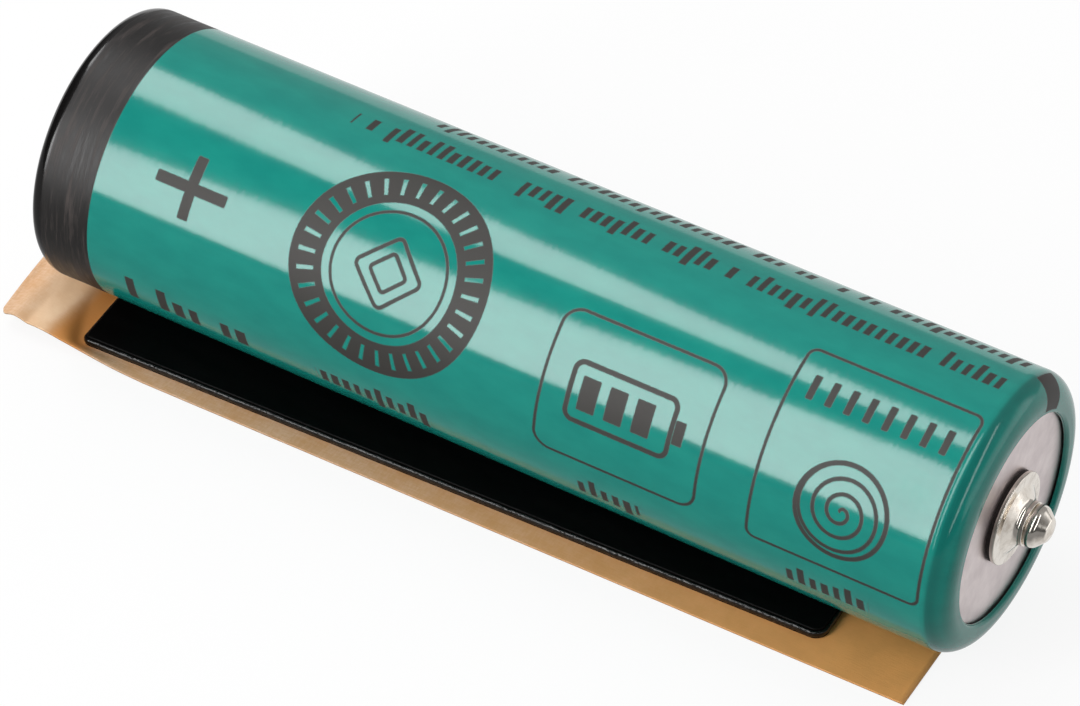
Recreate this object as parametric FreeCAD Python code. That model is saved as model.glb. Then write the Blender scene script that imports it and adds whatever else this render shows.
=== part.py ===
import FreeCAD, Part
import math
import os

# A sleeved cylindrical cell lying on a double-sided pad. Millimetres.
# X runs along the cell, with the negative end and its contact pin at +X. Z is up.
# The origin is on the underside of the release liner, below the middle of the sleeve.

# Sleeve
sleeve_length = 50.2
sleeve_radius = 7.0
sleeve_wall = 0.1
negative_lip = 0.33
negative_rim_rounding = 1.3
negative_lip_width = 1.73
positive_lip = 0.2
positive_rim_rounding = 0.45
positive_lip_width = 1.6
lip_edge_rounding = 0.1

# Clearances
layer_gap = 0.02
winding_gap = 0.03
release_gap = 0.02
spring_end_gap = 0.02

# Can, drawn in one piece with a bead below the seal and a crimp over it
can_wall = 0.25
can_base_corner = 0.8
crimp_corner = 0.5
crimp_width = 1.58
bead_depth = 0.8
bead_width = 0.8
bead_mouth_rounding = 0.35
bead_root_rounding = 0.2

# Seal, cap and vent
washer_thickness = 0.25
washer_edge_gap = 0.6
washer_bore_gap = 0.35
gasket_wall = 0.45
gasket_upper_leg = 0.35
gasket_lower_leg = 0.4
gasket_shown_inside_crimp = 0.2
gasket_seat_width = 0.94
gasket_edge_rounding = 0.3
cap_wall = 0.3
cap_height = 1.0
cap_radius = 2.75
cap_crown_rounding = 0.5
cap_foot_rounding = 0.35
cap_vent_radius = 0.35
cap_vent_above_foot = 0.2
cap_vent_count = 3
sealing_plate_thickness = 0.4
plate_edge_rounding = 0.08
vent_hole_radius = 0.6
valve_radius = 1.7
valve_thickness = 0.7
valve_edge_rounding = 0.1
valve_seat_gap = 0.02
valve_plate_radius = 1.9
valve_plate_thickness = 0.2
spring_wire = 0.2
spring_radius = 1.25
spring_turns = 2.5

# Winding
lower_insulator_edge_gap = 0.63
lower_insulator_thickness = 0.4
upper_insulator_thickness = 0.3
upper_insulator_edge_gap = 0.13
upper_insulator_width = 1.7
collector_edge_gap = 1.0
collector_thickness = 0.3
collector_bore_radius = 1.4
collector_slot_width = 0.5
collector_slot_inner_radius = 2.4
collector_slot_count = 4
collector_to_ring_gap = 0.3
positive_sheet = 0.6
negative_sheet = 0.35
separator_sheet = 0.12
negative_half_turns = 7
positive_half_turns = 6
inner_separator_half_turns = 7
outer_separator_half_turns = 5
positive_above_separator = 0.2
separator_above_negative = 0.35
negative_short_of_base = 0.22
positive_short_of_base = 0.5
lead_thickness = 0.15
lead_width = 3.0
lead_to_ring_gap = 1.2
lead_lower_leg_end = -2.5
lead_upper_leg_end = 1.0

# Contact pin, from the can's base outwards
pin_foot_radius = 1.7
pin_foot_height = 0.12
pin_flange_radius = 2.2
pin_flange_thickness = 0.25
pin_flange_edge_rounding = 0.08
pin_dish_radius = 1.8
pin_dish_depth = 0.06
pin_flare_length = 0.32
pin_stud_radius = 1.2
pin_stud_length = 0.42
pin_groove_radius = 0.95
pin_groove_width = 0.15
pin_head_radius = 1.12
pin_shoulder_radius = 1.0
pin_head_length = 0.26
pin_head_edge_rounding = 0.08
pin_shoulder_rounding = 0.3
pin_point_length = 0.83
pin_point_radius = 0.22
pin_point_rounding = 0.2

# Pad and release liner
pad_to_positive_end = 2.1
pad_to_negative_end = 6.1
pad_inside_cell_edge = 1.0
pad_turn_degrees = 1.9
pad_corner_rounding = 0.8
adhesive_thickness = 0.1
foam_thickness = 0.3
cell_sink = 0.06
liner_thickness = 0.12
liner_beyond_pad_edge = 0.9
liner_end_beyond_pad = 4.1
liner_turn_degrees = 0.9
tail_clear_of_pad = 0.25
tail_rise_length = 2.65
tail_rise_height = 0.5
tail_fall_length = 0.95
tail_fall_height = 0.2
tail_valley_rounding = 1.5
tail_crest_rounding = 1.2

# Heights above the surface that the liner lies on
pad_bottom = liner_thickness + release_gap
foam_bottom = pad_bottom + adhesive_thickness
upper_adhesive_bottom = foam_bottom + foam_thickness
pad_top = upper_adhesive_bottom + adhesive_thickness
axis_height = pad_top + sleeve_radius - cell_sink

# Stations along the axis
negative_end_x = sleeve_length / 2
positive_end_x = -sleeve_length / 2
base_x = negative_end_x - negative_lip
base_inner_x = base_x - can_wall
washer_x = positive_end_x + positive_lip
crimp_x = washer_x + washer_thickness
crimp_inner_x = crimp_x + can_wall
cap_flange_x = crimp_inner_x + gasket_upper_leg
sealing_plate_x = cap_flange_x + cap_wall
sealing_plate_inner_x = sealing_plate_x + sealing_plate_thickness
bead_shoulder_x = sealing_plate_inner_x + gasket_lower_leg
groove_x = bead_shoulder_x + can_wall
bead_end_x = groove_x + bead_width + can_wall
upper_insulator_x = bead_end_x + upper_insulator_thickness
collector_x = upper_insulator_x + collector_to_ring_gap
positive_sheet_x = collector_x + collector_thickness
separator_x = positive_sheet_x + positive_above_separator
negative_sheet_x = separator_x + separator_above_negative
winding_end_x = base_inner_x - lower_insulator_thickness
cap_top_x = positive_end_x - cap_height

# Radii that follow from the layers
sleeve_inner_radius = sleeve_radius - sleeve_wall
can_radius = sleeve_inner_radius - layer_gap
can_inner_radius = can_radius - can_wall
crimp_opening_radius = can_radius - crimp_width
gasket_radius = can_inner_radius - layer_gap
gasket_inner_radius = gasket_radius - gasket_wall
gasket_upper_bore_radius = crimp_opening_radius - gasket_shown_inside_crimp
seal_radius = gasket_inner_radius - layer_gap
gasket_lower_bore_radius = seal_radius - gasket_seat_width
winding_radius = can_inner_radius - winding_gap
upper_insulator_radius = can_inner_radius - upper_insulator_edge_gap
upper_insulator_bore_radius = upper_insulator_radius - upper_insulator_width
collector_radius = winding_radius - collector_edge_gap

# The pad runs nearly the length of the cell, and the liner stands out round it
pad_low_x = positive_end_x + pad_to_positive_end
pad_high_x = negative_end_x - pad_to_negative_end
pad_length = pad_high_x - pad_low_x
pad_width = 2 * (sleeve_radius - pad_inside_cell_edge)
liner_width = pad_width + 2 * liner_beyond_pad_edge

# Radial build of the winding, from the core outwards
inner_separator_offset = positive_sheet + winding_gap
negative_offset = inner_separator_offset + separator_sheet + winding_gap
outer_separator_offset = negative_offset + negative_sheet + winding_gap
winding_pitch = outer_separator_offset + separator_sheet + winding_gap

axis_line = FreeCAD.Vector(1, 0, 0)
up_line = FreeCAD.Vector(0, 0, 1)
axis_point = FreeCAD.Vector(0, 0, axis_height)
smallest_edge = 1e-6


def unit(start, end):
    length = math.hypot(end[0] - start[0], end[1] - start[1])
    return (end[0] - start[0]) / length, (end[1] - start[1]) / length


# Path points are (u, v) or (u, v, corner radius).
def corner_radius(point):
    return point[2] if len(point) > 2 else 0.0


# The three points of the arc that rounds a corner: where it starts, its middle and where it ends.
def corner_arc(before, point, after):
    arriving = unit(before, point)
    leaving = unit(point, after)
    radius = corner_radius(point)
    half_turn = math.acos(max(-1.0, min(1.0, arriving[0] * leaving[0] + arriving[1] * leaving[1]))) / 2
    back = radius * math.tan(half_turn)
    start = (point[0] - arriving[0] * back, point[1] - arriving[1] * back)
    end = (point[0] + leaving[0] * back, point[1] + leaving[1] * back)
    inward = unit(point, ((start[0] + end[0]) / 2, (start[1] + end[1]) / 2))
    depth = radius / math.cos(half_turn) - radius
    middle = (point[0] + inward[0] * depth, point[1] + inward[1] * depth)
    return start, middle, end


# Lines and tangent arcs through the points. place turns (u, v) into a vector.
def path_edges(points, closed, place):
    count = len(points)
    arrivals = []
    departures = []
    arcs = []
    for index, point in enumerate(points):
        open_end = not closed and index in (0, count - 1)
        if open_end or corner_radius(point) == 0:
            arrivals.append(point[:2])
            departures.append(point[:2])
            arcs.append(None)
            continue
        start, middle, end = corner_arc(points[index - 1], point, points[(index + 1) % count])
        arrivals.append(start)
        departures.append(end)
        arcs.append((start, middle, end))
    edges = []
    for index in range(count):
        if arcs[index]:
            edges.append(Part.Arc(*[place(*spot) for spot in arcs[index]]).toShape())
        if not closed and index == count - 1:
            break
        start = place(*departures[index])
        end = place(*arrivals[(index + 1) % count])
        if start.distanceToPoint(end) > smallest_edge:
            edges.append(Part.LineSegment(start, end).toShape())
    return edges


# The same path moved sideways to its left by a distance, with its corner radii to match.
def offset_path(points, distance):
    moved = []
    last = len(points) - 1
    for index, point in enumerate(points):
        arriving = unit(points[index - 1], point) if index > 0 else unit(point, points[1])
        leaving = unit(point, points[index + 1]) if index < last else arriving
        first_normal = (-arriving[1], arriving[0])
        second_normal = (-leaving[1], leaving[0])
        alignment = 1 + first_normal[0] * second_normal[0] + first_normal[1] * second_normal[1]
        u = point[0] + distance * (first_normal[0] + second_normal[0]) / alignment
        v = point[1] + distance * (first_normal[1] + second_normal[1]) / alignment
        turn = arriving[0] * leaving[1] - arriving[1] * leaving[0]
        radius = corner_radius(point)
        if radius > 0:
            radius -= math.copysign(distance, turn)
        moved.append((u, v, radius))
    return moved


def along_radius(u, v):
    return FreeCAD.Vector(u, 0, axis_height + v)


def in_side_plane(u, v):
    return FreeCAD.Vector(u, 0, v)


def closed_face(points, place):
    return Part.Face(Part.Wire(path_edges(points, True, place)))


# A strip of even thickness to the left of an open path.
def sheet_face(points, thickness, place):
    skin = path_edges(points, False, place)
    inside_points = offset_path(points, thickness)
    inside = path_edges(inside_points, False, place)
    closing = []
    for end in (0, -1):
        start_point = place(*points[end][:2])
        end_point = place(*inside_points[end][:2])
        closing.append(Part.LineSegment(start_point, end_point).toShape())
    return Part.Face(Part.Wire(Part.__sortEdges__(skin + inside + closing)))


def turned(face):
    return face.revolve(axis_point, axis_line, 360)


def ring(inner_radius, outer_radius, x_from, x_to, rounding=0.0):
    outline = [
        (x_from, inner_radius),
        (x_to, inner_radius),
        (x_to, outer_radius, rounding),
        (x_from, outer_radius, rounding),
    ]
    return turned(closed_face(outline, along_radius))


def axial_cylinder(radius, x_from, x_to):
    return Part.makeCylinder(radius, x_to - x_from, FreeCAD.Vector(x_from, 0, axis_height), axis_line)


# A tube that rolls inwards over both rims. The negative rim is soft and its lip thick.
def sleeve():
    negative_opening_radius = sleeve_radius - negative_lip_width
    positive_opening_radius = sleeve_radius - positive_lip_width
    outline = [
        (base_x, negative_opening_radius),
        (negative_end_x, negative_opening_radius, lip_edge_rounding),
        (negative_end_x, sleeve_radius, negative_rim_rounding),
        (positive_end_x, sleeve_radius, positive_rim_rounding),
        (positive_end_x, positive_opening_radius, lip_edge_rounding),
        (washer_x, positive_opening_radius),
        (washer_x, sleeve_inner_radius, positive_rim_rounding - sleeve_wall),
        (base_x, sleeve_inner_radius, can_base_corner + layer_gap),
    ]
    return turned(closed_face(outline, along_radius))


def can():
    groove_radius = can_radius - bead_depth
    skin = [
        (base_x, 0),
        (base_x, can_radius, can_base_corner),
        (groove_x + bead_width, can_radius, bead_mouth_rounding),
        (groove_x + bead_width, groove_radius, bead_root_rounding),
        (groove_x, groove_radius, bead_root_rounding),
        (groove_x, can_radius, bead_mouth_rounding),
        (crimp_x, can_radius, crimp_corner),
        (crimp_x, crimp_opening_radius),
    ]
    return turned(sheet_face(skin, can_wall, along_radius))


# A turned stud: foot, dished flange, flare, stud, groove and a pointed head.
def contact_pin():
    flange_x = base_x + pin_foot_height
    face_x = flange_x + pin_flange_thickness
    stud_x = face_x + pin_flare_length
    groove_from_x = stud_x + pin_stud_length
    head_x = groove_from_x + pin_groove_width
    shoulder_x = head_x + pin_head_length
    point_x = shoulder_x + pin_point_length
    outline = [
        (base_x, 0),
        (base_x, pin_foot_radius),
        (flange_x, pin_foot_radius),
        (flange_x, pin_flange_radius, pin_flange_edge_rounding),
        (face_x, pin_flange_radius, pin_flange_edge_rounding),
        (face_x - pin_dish_depth, pin_dish_radius),
        (stud_x, pin_stud_radius),
        (groove_from_x, pin_stud_radius),
        (groove_from_x, pin_groove_radius),
        (head_x, pin_groove_radius),
        (head_x, pin_head_radius, pin_head_edge_rounding),
        (shoulder_x, pin_shoulder_radius, pin_shoulder_rounding),
        (point_x, pin_point_radius, pin_point_rounding),
        (point_x, 0),
    ]
    return turned(closed_face(outline, along_radius))


def insulating_washer():
    return ring(cap_radius + washer_bore_gap, sleeve_inner_radius - washer_edge_gap, washer_x, crimp_x)


# A nylon channel round the edge of the cap and the sealing plate.
def gasket():
    edge_rounding = min(gasket_edge_rounding, gasket_upper_leg)
    outline = [
        (crimp_inner_x, gasket_upper_bore_radius),
        (crimp_inner_x, gasket_radius, edge_rounding),
        (bead_shoulder_x, gasket_radius, edge_rounding),
        (bead_shoulder_x, gasket_lower_bore_radius),
        (sealing_plate_inner_x, gasket_lower_bore_radius),
        (sealing_plate_inner_x, gasket_inner_radius),
        (cap_flange_x, gasket_inner_radius),
        (cap_flange_x, gasket_upper_bore_radius),
    ]
    return turned(closed_face(outline, along_radius))


# A hat of sheet steel with vent holes in the side of its crown.
def positive_cap():
    skin = [
        (cap_flange_x, seal_radius),
        (cap_flange_x, cap_radius, cap_foot_rounding),
        (cap_top_x, cap_radius, cap_crown_rounding),
        (cap_top_x, 0),
    ]
    cap = turned(sheet_face(skin, cap_wall, along_radius))
    vent_x = cap_flange_x - cap_foot_rounding - cap_vent_above_foot - cap_vent_radius
    for index in range(cap_vent_count):
        angle = math.radians(360 / cap_vent_count * index)
        outwards = FreeCAD.Vector(0, math.cos(angle), math.sin(angle))
        start = FreeCAD.Vector(vent_x, 0, axis_height)
        cap = cap.cut(Part.makeCylinder(cap_vent_radius, cap_radius + cap_wall, start, outwards))
    return cap


def sealing_plate():
    return ring(vent_hole_radius, seal_radius, sealing_plate_x, sealing_plate_inner_x, plate_edge_rounding)


valve_inner_x = sealing_plate_x - valve_seat_gap
valve_outer_x = valve_inner_x - valve_thickness
valve_plate_x = valve_outer_x - valve_plate_thickness


def vent_valve():
    outline = [
        (valve_outer_x, 0),
        (valve_inner_x, 0),
        (valve_inner_x, valve_radius, valve_edge_rounding),
        (valve_outer_x, valve_radius, valve_edge_rounding),
    ]
    return turned(closed_face(outline, along_radius))


def valve_plate():
    return axial_cylinder(valve_plate_radius, valve_plate_x, valve_outer_x)


# Square wire, coiled between the valve plate and the inside of the cap's crown.
def vent_spring():
    half_wire = spring_wire / 2
    low_x = cap_top_x + cap_wall + spring_end_gap + half_wire
    high_x = valve_plate_x - spring_end_gap - half_wire
    height = high_x - low_x
    helix = Part.makeHelix(height / spring_turns, height, spring_radius)
    corners = [
        FreeCAD.Vector(spring_radius - half_wire, 0, -half_wire),
        FreeCAD.Vector(spring_radius + half_wire, 0, -half_wire),
        FreeCAD.Vector(spring_radius + half_wire, 0, half_wire),
        FreeCAD.Vector(spring_radius - half_wire, 0, half_wire),
    ]
    section = Part.makePolygon(corners + corners[:1])
    coil = Part.Wire(helix.Edges).makePipeShell([section], True, True)
    coil.rotate(FreeCAD.Vector(0, 0, 0), FreeCAD.Vector(0, 1, 0), 90)
    coil.translate(FreeCAD.Vector(low_x, 0, axis_height))
    return coil


# A nickel strip from the collector, round one bend, to the sealing plate.
def positive_lead():
    bend = (collector_x - sealing_plate_inner_x) / 2
    lead_reach = upper_insulator_bore_radius - lead_to_ring_gap
    skin = [
        (collector_x, axis_height + lead_lower_leg_end),
        (collector_x, axis_height + lead_reach, bend),
        (sealing_plate_inner_x, axis_height + lead_reach, bend),
        (sealing_plate_inner_x, axis_height + lead_upper_leg_end),
    ]
    strip = sheet_face(skin, lead_thickness, in_side_plane)
    strip.translate(FreeCAD.Vector(0, -lead_width / 2, 0))
    return strip.extrude(FreeCAD.Vector(0, lead_width, 0))


def upper_insulator():
    return ring(upper_insulator_bore_radius, upper_insulator_radius, bead_end_x, upper_insulator_x)


def lower_insulator():
    return axial_cylinder(can_inner_radius - lower_insulator_edge_gap, winding_end_x, base_inner_x)


# A disc with a centre hole and slots that run out through its edge.
def positive_collector():
    disc = ring(collector_bore_radius, collector_radius, collector_x, positive_sheet_x)
    for index in range(collector_slot_count):
        slot = Part.makeBox(
            collector_thickness,
            collector_slot_width,
            collector_radius,
            FreeCAD.Vector(collector_x, -collector_slot_width / 2, axis_height + collector_slot_inner_radius),
        )
        slot.rotate(axis_point, axis_line, 360 / collector_slot_count * (index + 0.5))
        disc = disc.cut(slot)
    return disc


# A sheet wound in half circles. Upper and lower ones have centres half a pitch apart,
# so every layer stays parallel to the next. The last half turn of the negative is centred in the can.
def wound_sheet(offset, thickness, half_turns, x_from, x_to):
    last_half_turn = negative_half_turns - 1
    growth = winding_pitch / 2
    core_radius = winding_radius - negative_offset - negative_sheet - last_half_turn * growth
    upper_centre = growth if last_half_turn % 2 else 0.0

    def spot(y, z):
        return FreeCAD.Vector(x_from, y, axis_height + z)

    def side_of(radius_offset):
        edges = []
        for index in range(half_turns):
            radius = core_radius + radius_offset + index * growth
            upper = index % 2 == 0
            centre = upper_centre if upper else upper_centre - growth
            rise = radius if upper else -radius
            edges.append(Part.Arc(spot(centre - rise, 0), spot(centre, rise), spot(centre + rise, 0)).toShape())
        return edges

    inner = side_of(offset)
    outer = side_of(offset + thickness)
    ends = []
    for edge in (0, -1):
        vertex = 0 if edge == 0 else -1
        start = inner[edge].Vertexes[vertex].Point
        end = outer[edge].Vertexes[vertex].Point
        ends.append(Part.LineSegment(start, end).toShape())
    face = Part.Face(Part.Wire(Part.__sortEdges__(inner + outer + ends)))
    return face.extrude(FreeCAD.Vector(x_to - x_from, 0, 0))


def pad_layer(bottom, thickness):
    outline = [
        (-pad_length / 2, -pad_width / 2, pad_corner_rounding),
        (pad_length / 2, -pad_width / 2, pad_corner_rounding),
        (pad_length / 2, pad_width / 2, pad_corner_rounding),
        (-pad_length / 2, pad_width / 2, pad_corner_rounding),
    ]
    layer = closed_face(outline, lambda u, v: FreeCAD.Vector(u, v, bottom)).extrude(up_line * thickness)
    layer.rotate(FreeCAD.Vector(0, 0, 0), up_line, pad_turn_degrees)
    layer.translate(FreeCAD.Vector((pad_low_x + pad_high_x) / 2, 0, 0))
    return layer


# The soft top film takes a shallow hollow where the cell is pressed into it.
def pad_upper_adhesive():
    film = pad_layer(upper_adhesive_bottom, adhesive_thickness)
    hollow = axial_cylinder(sleeve_radius + layer_gap, positive_end_x, negative_end_x)
    return film.cut(hollow)


# Paper, flat under the pad, with a tail past the pad that rises and falls again.
def release_liner():
    valley_x = pad_low_x - tail_clear_of_pad
    crest_x = valley_x - tail_rise_length
    skin = [
        (crest_x - tail_fall_length, tail_rise_height - tail_fall_height),
        (crest_x, tail_rise_height, tail_crest_rounding + liner_thickness),
        (valley_x, 0, tail_valley_rounding),
        (pad_high_x + liner_end_beyond_pad, 0),
    ]
    strip = sheet_face(skin, liner_thickness, in_side_plane)
    strip.translate(FreeCAD.Vector(0, -liner_width / 2, 0))
    liner = strip.extrude(FreeCAD.Vector(0, liner_width, 0))
    liner.rotate(FreeCAD.Vector(0, 0, 0), up_line, liner_turn_degrees)
    return liner


def positive_electrode():
    end_x = winding_end_x - positive_short_of_base
    return wound_sheet(0, positive_sheet, positive_half_turns, positive_sheet_x, end_x)


def negative_electrode():
    end_x = winding_end_x - negative_short_of_base
    return wound_sheet(negative_offset, negative_sheet, negative_half_turns, negative_sheet_x, end_x)


def inner_separator():
    turns = inner_separator_half_turns
    return wound_sheet(inner_separator_offset, separator_sheet, turns, separator_x, winding_end_x)


def outer_separator():
    turns = outer_separator_half_turns
    return wound_sheet(outer_separator_offset, separator_sheet, turns, separator_x, winding_end_x)


sub_parts = {
    "sleeve": sleeve,
    "can": can,
    "contact_pin": contact_pin,
    "insulating_washer": insulating_washer,
    "gasket": gasket,
    "positive_cap": positive_cap,
    "sealing_plate": sealing_plate,
    "vent_valve": vent_valve,
    "valve_plate": valve_plate,
    "vent_spring": vent_spring,
    "positive_lead": positive_lead,
    "positive_collector": positive_collector,
    "upper_insulator": upper_insulator,
    "lower_insulator": lower_insulator,
    "positive_electrode": positive_electrode,
    "negative_electrode": negative_electrode,
    "inner_separator": inner_separator,
    "outer_separator": outer_separator,
    "pad_upper_adhesive": pad_upper_adhesive,
    "pad_foam": lambda: pad_layer(foam_bottom, foam_thickness),
    "pad_lower_adhesive": lambda: pad_layer(pad_bottom, adhesive_thickness),
    "release_liner": release_liner,
}

os.makedirs("parts", exist_ok=True)
for node, make in sub_parts.items():
    shape = make()
    shape.exportStep(os.path.join("parts", node + ".step"))
    print(node, "volume", round(shape.Volume, 3), "solids", len(shape.Solids), "valid", shape.isValid())
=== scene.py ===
# A sleeved cylindrical cell lying on its peel-off pad. Metres, X along the cell, +Z up.
import bpy
import math
from mathutils import Matrix, Vector, noise


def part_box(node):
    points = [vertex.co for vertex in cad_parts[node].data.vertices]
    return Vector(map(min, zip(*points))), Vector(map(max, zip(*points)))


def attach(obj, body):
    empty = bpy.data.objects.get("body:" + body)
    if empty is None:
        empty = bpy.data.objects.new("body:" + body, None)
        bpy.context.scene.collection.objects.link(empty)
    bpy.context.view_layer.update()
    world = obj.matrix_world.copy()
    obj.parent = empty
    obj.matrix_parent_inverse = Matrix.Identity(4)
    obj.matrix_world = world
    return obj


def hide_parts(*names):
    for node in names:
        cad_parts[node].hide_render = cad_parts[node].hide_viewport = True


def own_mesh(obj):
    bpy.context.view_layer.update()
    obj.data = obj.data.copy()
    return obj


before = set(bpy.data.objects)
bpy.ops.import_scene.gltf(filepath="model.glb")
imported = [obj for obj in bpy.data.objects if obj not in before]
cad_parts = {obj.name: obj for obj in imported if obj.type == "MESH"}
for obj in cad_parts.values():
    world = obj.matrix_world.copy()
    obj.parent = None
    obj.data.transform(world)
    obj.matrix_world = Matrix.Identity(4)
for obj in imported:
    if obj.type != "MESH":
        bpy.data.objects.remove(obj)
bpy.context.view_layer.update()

mm = 0.001

# Places that everything else follows
sleeveLow, sleeveHigh = [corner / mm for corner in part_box("sleeve")]
axisHeight = (sleeveLow.z + sleeveHigh.z) / 2
sleeveRadius = (sleeveHigh.z - sleeveLow.z) / 2
cellMiddle = Vector((0, 0, axisHeight))


def fromHex(code):
    channels = [int(code[i:i + 2], 16) / 255 for i in (0, 2, 4)]
    return [c / 12.92 if c <= 0.04045 else ((c + 0.055) / 1.055) ** 2.4 for c in channels] + [1.0]


# Sockets are a list in the node's own order, or go by name or number. A value is a number, a colour, a
# socket of another node, or a node, which stands for its first output in use. MapRange's order is the value,
# the range it comes from and the range it becomes.
def addNode(tree, kind, sockets=(), **settings):
    node = tree.nodes.new("ShaderNode" + kind)
    for name, value in settings.items():
        setattr(node, name, value)
    for key, value in sockets.items() if isinstance(sockets, dict) else enumerate(sockets):
        if isinstance(value, bpy.types.Node):
            value = [output for output in value.outputs if output.enabled][0]
        if isinstance(value, bpy.types.NodeSocket):
            tree.links.new(value, node.inputs[key])
        else:
            node.inputs[key].default_value = value
    return node


smooth = {"interpolation_type": "SMOOTHSTEP"}


# A material or a world gets a node tree with nothing in it
def emptyTree(holder):
    holder.use_nodes = True
    holder.node_tree.nodes.clear()
    return holder.node_tree


# Starts a material: its tree, the surface shader and the object's own coordinates in millimetres
def startMaterial(name, **surfaceValues):
    material = bpy.data.materials.new(name)
    tree = emptyTree(material)
    sockets = {key.replace("_", " "): value for key, value in surfaceValues.items()}
    surface = addNode(tree, "BsdfPrincipled", sockets)
    addNode(tree, "OutputMaterial", {"Surface": surface})
    place = addNode(tree, "VectorMath", [addNode(tree, "TexCoord").outputs["Object"]], operation="SCALE")
    place.inputs["Scale"].default_value = 1 / mm
    return material, tree, surface, place


# Noise whose blotches are size millimetres long on each axis
def grain(tree, place, size, detail=3.0, roughness=0.55):
    size = size if hasattr(size, "__len__") else (size, size, size)
    scaled = addNode(tree, "VectorMath", [place, [1 / s for s in size]], operation="MULTIPLY")
    return addNode(tree, "TexNoise", {
        "Vector": scaled, "Scale": 1.0, "Detail": detail, "Roughness": roughness,
    })


# Two colours in a pattern: the first where it is under low, the second where it is over high
def twoShades(tree, pattern, low, high, first, second):
    share = addNode(tree, "MapRange", [pattern, low, high])
    return addNode(tree, "Mix", {0: share, 6: fromHex(first), 7: fromHex(second)}, data_type="RGBA")


# Joins a colour and a roughness to the surface
def coat(tree, surface, colour, rough):
    tree.links.new(colour.outputs[2], surface.inputs["Base Color"])
    tree.links.new(rough.outputs[0], surface.inputs["Roughness"])


# Raises the surface by height times depth millimetres
def relief(tree, surface, height, depth, under=None):
    bump = addNode(tree, "Bump", {"Height": height, "Distance": depth * mm, "Strength": 1.0})
    if under:
        tree.links.new(under.outputs[0], bump.inputs["Normal"])
    tree.links.new(bump.outputs[0], surface.inputs["Normal"])
    return bump


def smoothStep(value, low, high):
    t = min(1.0, max(0.0, (value - low) / (high - low)))
    return t * t * (3 - 2 * t)


# Corners are (x, r, rounding) in millimetres; an arc replaces each rounded one, held by a point on each side
def roundedPath(corners, arcSteps=8, closed=True, longest=1e9):
    path = []
    count = len(corners)
    for index, corner in enumerate(corners):
        point = Vector(corner[:2])
        rounding = corner[2] if len(corner) > 2 else 0.0
        if rounding == 0 or (not closed and index in (0, count - 1)):
            path.append(point)
            continue
        arriving = (point - Vector(corners[index - 1][:2])).normalized()
        leaving = (Vector(corners[(index + 1) % count][:2]) - point).normalized()
        turn = math.atan2(arriving.cross(leaving), arriving.dot(leaving))
        back = rounding * math.tan(abs(turn) / 2)
        start = point - arriving * back
        side = Vector((-arriving.y, arriving.x)) * math.copysign(1, turn)
        centre = start + side * rounding
        hold = 0.12 * rounding
        path.append(start - arriving * hold)
        for step in range(arcSteps + 1):
            path.append(centre + Matrix.Rotation(turn * step / arcSteps, 2) @ (start - centre))
        path.append(point + leaving * (back + hold))
    filled = []
    for index, point in enumerate(path):
        filled.append(point)
        follower = path[(index + 1) % len(path)]
        pieces = math.ceil((follower - point).length / longest)
        if index < len(path) - 1 or closed:
            filled += [point.lerp(follower, part / pieces) for part in range(1, pieces)]
    return filled


def finishMesh(name, points, faces, body, material, uvs=None):
    mesh = bpy.data.meshes.new(name)
    mesh.from_pydata([Vector(p) * mm for p in points], [], faces)
    if uvs:
        layer = mesh.uv_layers.new(name="millimetres")
        layer.data.foreach_set("uv", [value for pair in uvs for value in pair])
    mesh.polygons.foreach_set("use_smooth", [True] * len(mesh.polygons))
    mesh.materials.append(material)
    piece = bpy.data.objects.new(name, mesh)
    bpy.context.scene.collection.objects.link(piece)
    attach(piece, body)
    return piece


# A turned piece about the cell's axis. Angles run from the -Y side up to +Z. The skin is a path of (x, r).
# Its UV map is in millimetres: u is the distance along the skin, v the way round at the sleeve's radius.
def turnedPiece(name, skin, segments, body, material, closed=True, wobble=None):
    points, faces, uvs, rings = [], [], [], []
    for x, r in skin:
        ring = []
        for step in range(segments if r > 1e-6 else 1):
            angle = -math.pi / 2 + 2 * math.pi * step / segments
            px, pr = wobble(x, r, angle) if wobble else (x, r)
            ring.append(len(points))
            points.append((px, -pr * math.cos(angle), axisHeight + pr * math.sin(angle)))
        rings.append(ring)
    reach = [0.0]
    for index in range(len(skin)):
        reach.append(reach[-1] + (Vector(skin[(index + 1) % len(skin)]) - Vector(skin[index])).length)
    outside = [i for i, spot in enumerate(skin) if spot[1] >= sleeveRadius - 1e-4]
    anchor = min(outside, key=lambda i: abs(skin[i][0])) if outside else 0
    uOf = [skin[anchor][0] + reach[anchor] - value for value in reach]
    for index in range(len(skin) if closed else len(skin) - 1):
        here, there = rings[index], rings[(index + 1) % len(skin)]
        for step in range(segments):
            after = (step + 1) % segments
            corners = [
                (here[step % len(here)], index, step), (here[after % len(here)], index, step + 1),
                (there[after % len(there)], index + 1, step + 1), (there[step % len(there)], index + 1, step),
            ]
            kept = [c for n, c in enumerate(corners) if c[0] != corners[n - 1][0]]
            faces.append([c[0] for c in kept])
            for _, row, turnStep in kept:
                uvs.append((uOf[row], sleeveRadius * (-math.pi / 2 + 2 * math.pi * turnStep / segments)))
    return finishMesh(name, points, faces, body, material, uvs)


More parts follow.
